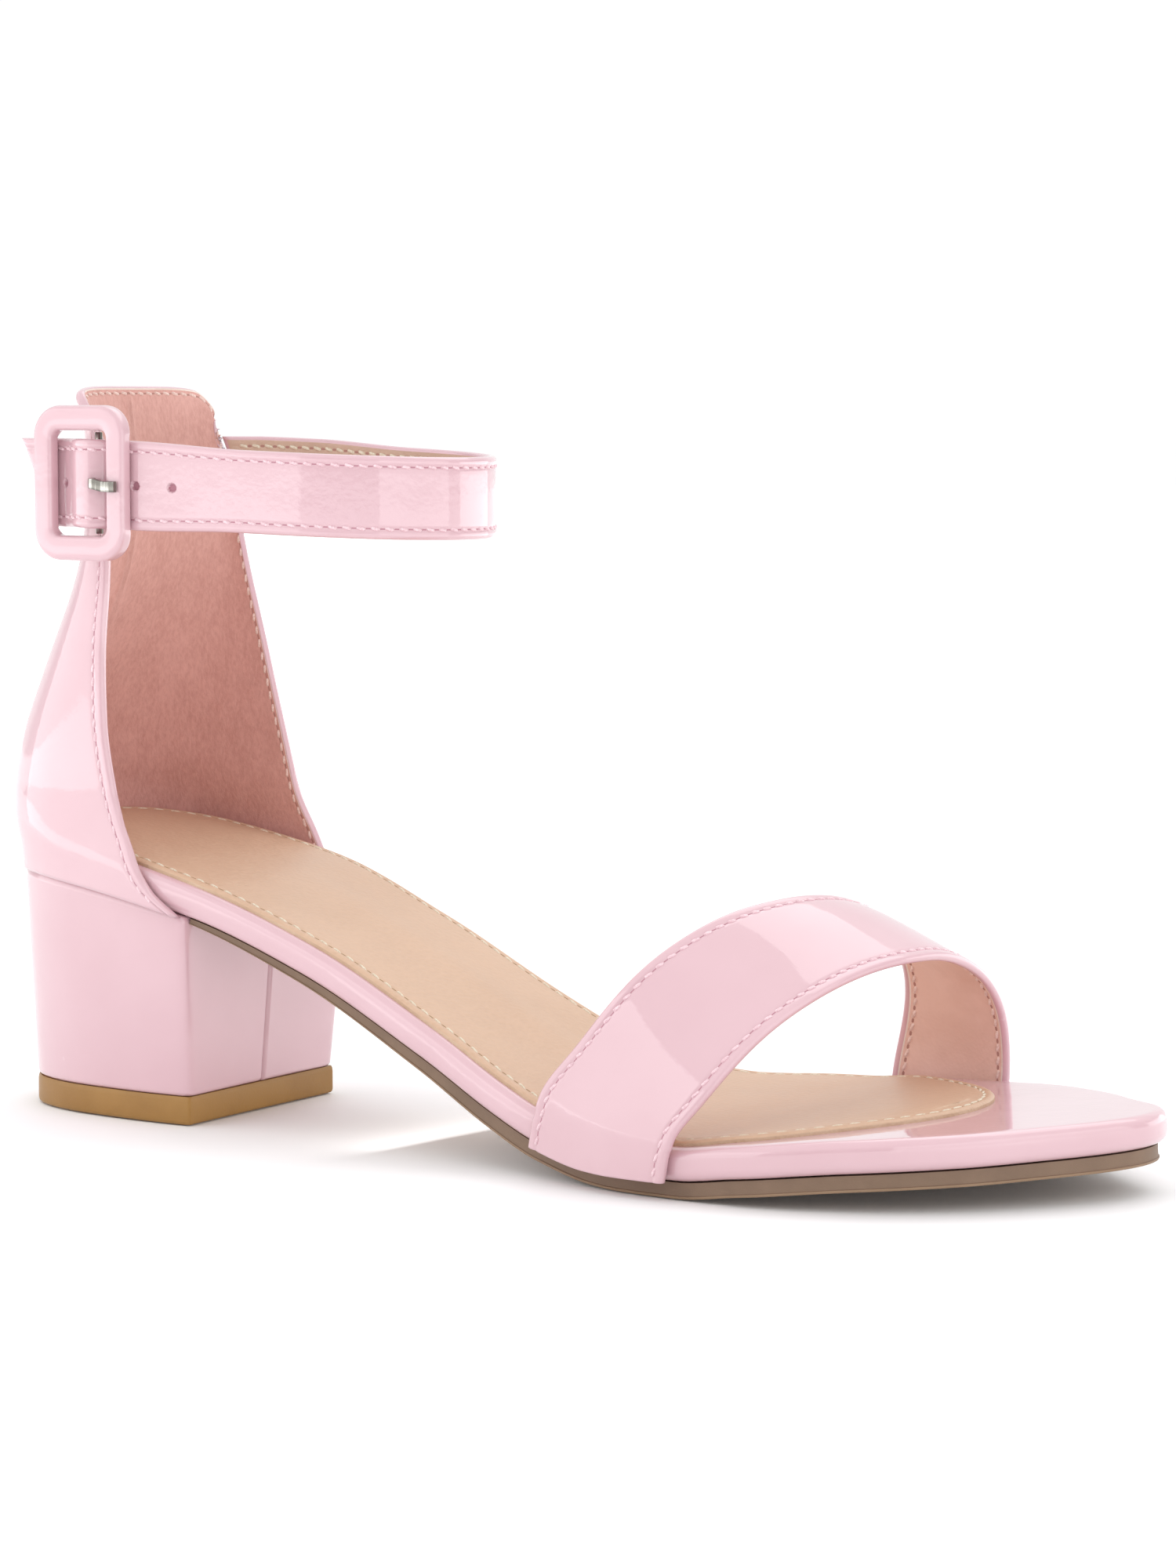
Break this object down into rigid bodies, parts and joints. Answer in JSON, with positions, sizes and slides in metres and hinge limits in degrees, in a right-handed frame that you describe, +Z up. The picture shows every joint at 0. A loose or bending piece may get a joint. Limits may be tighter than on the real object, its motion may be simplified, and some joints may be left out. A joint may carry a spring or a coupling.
{
  "type": "block heel sandal",
  "caption": "Women's open-toe sandal with a wide front strap, a closed heel counter, a buckled ankle strap and a covered block heel, right foot.",
  "frame": {"origin": "middle of the heel tip's underside, on the floor", "axes": "+X to the toe, +Y to the medial side, +Z up"},
  "size_m": [0.247, 0.0876, 0.1443],
  "materials": {
    "patent_pink": "glossy patent",
    "insole_beige": "matt grain",
    "sole_brown": "matt",
    "tip_ochre": "satin",
    "steel": "polished"
  },
  "bodies": {
    "root": {"ankle_strap": "patent_pink", "buckle_bar": "steel", "buckle_frame": "patent_pink", "buckle_prong": "steel", "buckle_tab": "patent_pink", "footbed": "patent_pink", "front_strap": "patent_pink", "heel_block": "patent_pink", "heel_counter": "patent_pink", "heel_tip": "tip_ochre", "insole": "insole_beige", "outsole": "sole_brown"}
  },
  "joints": []
}
